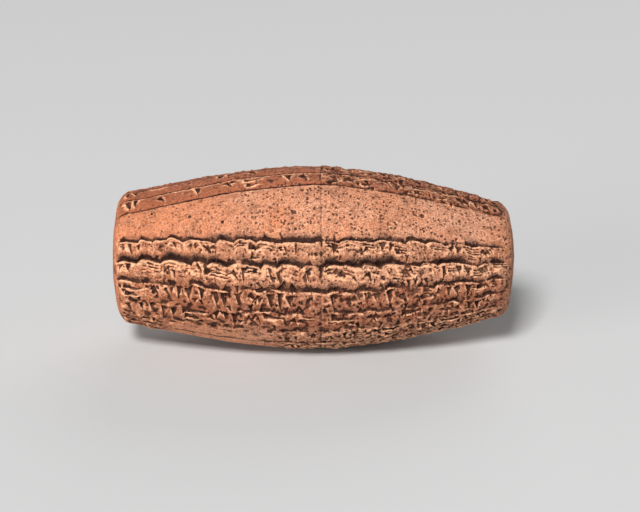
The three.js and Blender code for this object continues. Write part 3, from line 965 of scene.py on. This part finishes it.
grain = noise(0.62, detail=6, roughness=0.85)
sand = cells(SAND_SIZE)[1]
fleck_distance, fleck_number = cells(FLECK_SIZE)
fleck = product(remap(fleck_distance, 0.4, 0.25), remap(fleck_number, 0.55, 0.45))
fleck = product(fleck, remap(leftward, 0, 1, 1, 0.55))

# Broad tones: pinker in patches, warmer towards the left end, dusky in blotches, and darker and redder by
# rows, partly as painted shade.
pink_share = product(remap(noise(14), 0.3, 0.7), remap(leftward, 0, 1, 1, 0.3))
colour = blend(pink_share, CLAY, CLAY_PINK)
colour = blend(remap(leftward, 0, 1, 0, 0.55), colour, CLAY_WARM)
colour = blend(remap(noise(5, detail=5), 0.48, 0.72, 0, 0.7), colour, CLAY_DUSKY)
colour = blend(product(row_tone_and_shade_here, remap(noise(4), 0.35, 0.65, 0.2, 0.75)), colour, CLAY_RED_TONE_AND_SHADE)

# Grain and sand, pale and dark, and the crumbled clay of the text.
colour = blend(remap(grain, 0.53, 0.68, 0, 0.35), colour, CLAY_PALE)
colour = blend(remap(grain, 0.46, 0.34, 0, 0.65), colour, CLAY_DUSKY)
paler = product(remap(sand, 0.72, 0.96, 0, 0.4), remap(row_tone_and_shade_here, 0, 1, 1, 0.45))
colour = blend(product(paler, remap(leftward, 0, 1, 1, 0.5)), colour, CLAY_PALE)
duskier = product(remap(sand, 0.36, 0.05, 0, 0.95), remap(leftward, 0, 1, 1, 0.7))
colour = blend(duskier, colour, CLAY_DUSKY)
crumb_tone = noise(0.55, detail=5, roughness=0.8)
crumb_dark = product(in_text, remap(crumb_tone, 0.45, 0.36, 0, 0.6))
crumb_pale = product(in_text, remap(crumb_tone, 0.53, 0.63, 0, 0.6))
crumb_pale = product(crumb_pale, remap(row_tone_and_shade_here, 0.2, 1.4, 1, 0.4))
colour = blend(crumb_dark, blend(crumb_pale, colour, CLAY_HIGHLIGHT_AND_PALE_CRUMB), DARK_FLECK_AND_SHADE)

# Painted highlights and wear on the raised edges, painted shade under the ridges and in the hollows, and dark
# flecks.
# Painted highlight with some wear: raised edges that face up are lightened towards a pale orange.
worn_and_lit_edge_share = product(remap(worn_and_lit_edge_here, 0.05, 0.38, 0, 0.95), remap(noise(1.3, detail=4), 0.35, 0.6, 0.45, 1))
colour = blend(worn_and_lit_edge_share, colour, CLAY_HIGHLIGHT_AND_PALE_CRUMB)
# Painted shade under the ridges, in a dark grey-brown.
colour = blend(product(remap(shade_here, 0.05, 0.8, 0, 0.95), remap(sand, 0.1, 0.9, 1, 0.72)), colour, PAINTED_SHADE_DARK)
# Painted shade in the hollows, darkened towards near black and broken up a little by noise.
hollow_shade_share = product(remap(hollow_shade_here, 0.06, 0.28), remap(noise(2.4, detail=4), 0.4, 0.6, 0.75, 1))
colour = blend(hollow_shade_share, colour, DARK_FLECK_AND_SHADE)
colour = blend(product(fleck, 0.85), colour, DARK_FLECK_AND_SHADE)
tree.links.new(colour, shader.inputs["Base Color"])
tree.links.new(remap(grain, 0.3, 0.7, 0.98, 0.8), shader.inputs["Roughness"])

bumps = arithmetic("ADD", product(noise(0.35), 0.22), product(noise(2.2, detail=4), 0.3))
bumps = arithmetic("ADD", bumps, product(sand, 0.1))
bumps = arithmetic("ADD", bumps, product(noise(0.7, detail=4), product(in_text, 0.95)))
bumps = arithmetic("SUBTRACT", bumps, product(fleck, 0.25))
bump = add_node("ShaderNodeBump", inputs={"Strength": 1.0, "Distance": MM, "Height": bumps})
tree.links.new(bump.outputs["Normal"], shader.inputs["Normal"])
thinned.materials.append(clay)
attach(clay_body, "root")
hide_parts("clay_cylinder")


# The studio. A plain pale floor, a large soft light high in front and a little to the left, weaker
# ones low on the left and behind, and a camera a little above the cylinder.
FLOOR = 6
FLOOR_DROP = 0.05 * MM
FLOOR_GREY = (0.53, 0.53, 0.53, 1)
FLOOR_ROUGHNESS = 0.9
SURROUND = 0.14
LIT_SPOT = (0, 0, 0.03)
LIGHTS = {
    "key": {"place": (-0.85, -3.2, 3.1), "size": 1.1, "power": 262},
    "fill": {"place": (-2.5, -2.0, 0.3), "size": 1.6, "power": 88},
    "back": {"place": (0.9, 2.4, 1.1), "size": 2.2, "power": 34},
}
corners = [(x * FLOOR, y * FLOOR, -FLOOR_DROP) for x, y in ((-1, -1), (1, -1), (1, 1), (-1, 1))]
floor_mesh = bpy.data.meshes.new("floor")
floor_mesh.from_pydata(corners, [], [(0, 1, 2, 3)])
floor = bpy.data.objects.new("floor", floor_mesh)
bpy.context.scene.collection.objects.link(floor)
paper = bpy.data.materials.new("paper")
paper.use_nodes = True
paper_shader = paper.node_tree.nodes["Principled BSDF"]
paper_shader.inputs["Base Color"].default_value = FLOOR_GREY
paper_shader.inputs["Roughness"].default_value = FLOOR_ROUGHNESS
floor_mesh.materials.append(paper)

world = bpy.data.worlds.new("studio")
world.use_nodes = True
world.node_tree.nodes["Background"].inputs["Color"].default_value = (1, 1, 1, 1)
world.node_tree.nodes["Background"].inputs["Strength"].default_value = SURROUND
bpy.context.scene.world = world


def soft_box(name, place, size, power):
    """A square soft light, turned towards the cylinder."""
    light = bpy.data.lights.new(name, "AREA")
    light.size = size
    light.energy = power
    lamp = bpy.data.objects.new(name, light)
    lamp.location = place
    lamp.rotation_euler = (Vector(LIT_SPOT) - Vector(place)).to_track_quat("-Z", "Y").to_euler()
    bpy.context.scene.collection.objects.link(lamp)


for name, light in LIGHTS.items():
    soft_box(name, **light)

CAMERA_DISTANCE = 0.70
CAMERA_ELEVATION = 20
SENSOR_WIDTH = 36
PHOTO_WIDTH = 640
PHOTO_HEIGHT = 512
PHOTO_MM_PER_PIXEL = 0.3255
PHOTO_CENTRE = (313.5, 257.4)
camera_data = bpy.data.cameras.new("camera")
camera = bpy.data.objects.new("camera", camera_data)
bpy.context.scene.collection.objects.link(camera)
bpy.context.scene.camera = camera
tilt = math.radians(CAMERA_ELEVATION)
target = Vector((0, 0, AXIS_HEIGHT * MM))
back = Vector((0, -math.cos(tilt), math.sin(tilt)))
camera.location = target + back * CAMERA_DISTANCE
camera.rotation_mode = "QUATERNION"
camera.rotation_quaternion = (-back).to_track_quat("-Z", "Y")
camera_data.sensor_width = SENSOR_WIDTH
camera_data.lens = SENSOR_WIDTH * CAMERA_DISTANCE / (PHOTO_WIDTH * PHOTO_MM_PER_PIXEL * MM)
camera_data.shift_x = (PHOTO_WIDTH / 2 - PHOTO_CENTRE[0]) / PHOTO_WIDTH
camera_data.shift_y = (PHOTO_CENTRE[1] - PHOTO_HEIGHT / 2) / PHOTO_WIDTH
bpy.context.scene.view_settings.view_transform = "Standard"
